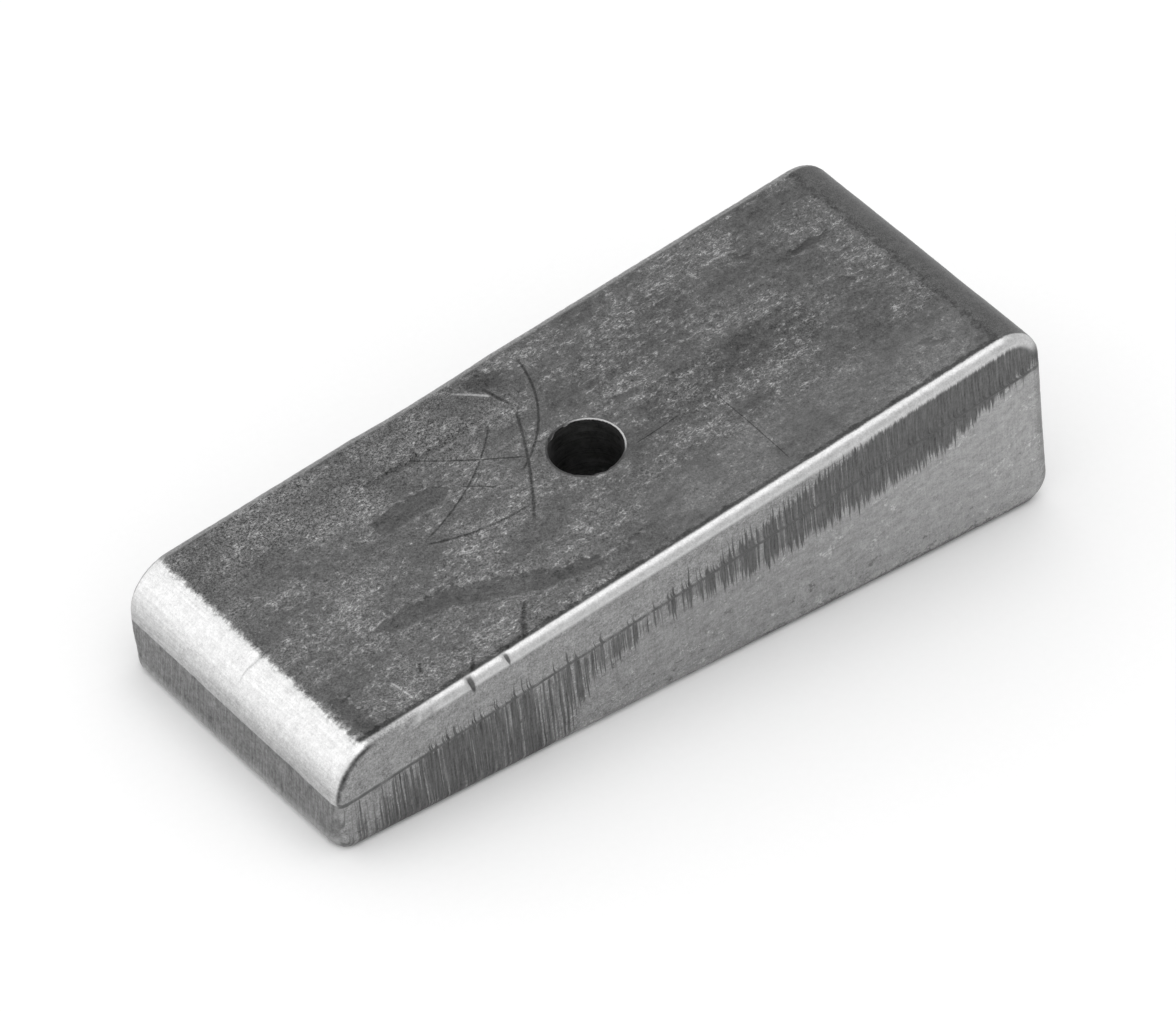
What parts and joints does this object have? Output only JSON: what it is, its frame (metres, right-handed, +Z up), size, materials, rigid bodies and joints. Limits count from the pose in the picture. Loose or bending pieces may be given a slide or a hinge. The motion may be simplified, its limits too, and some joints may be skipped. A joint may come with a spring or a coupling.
{
  "type": "felling wedge",
  "caption": "Short forged steel wedge block with rounded edges, a sloping scaled top, a raised flash line round its sides and a plain bore through the top.",
  "frame": {"origin": "middle of the bounding box, on the resting base", "axes": "+X along the base from the thin toe to the thick heel, +Z up, +Y across the width"},
  "size_m": [0.13, 0.0504, 0.0344],
  "materials": {
    "forged_steel": "bare forged steel: dark mottled scale on top, burnished edges, trimmed sides"
  },
  "bodies": {
    "root": {"wedge_body": "forged_steel"}
  },
  "joints": []
}
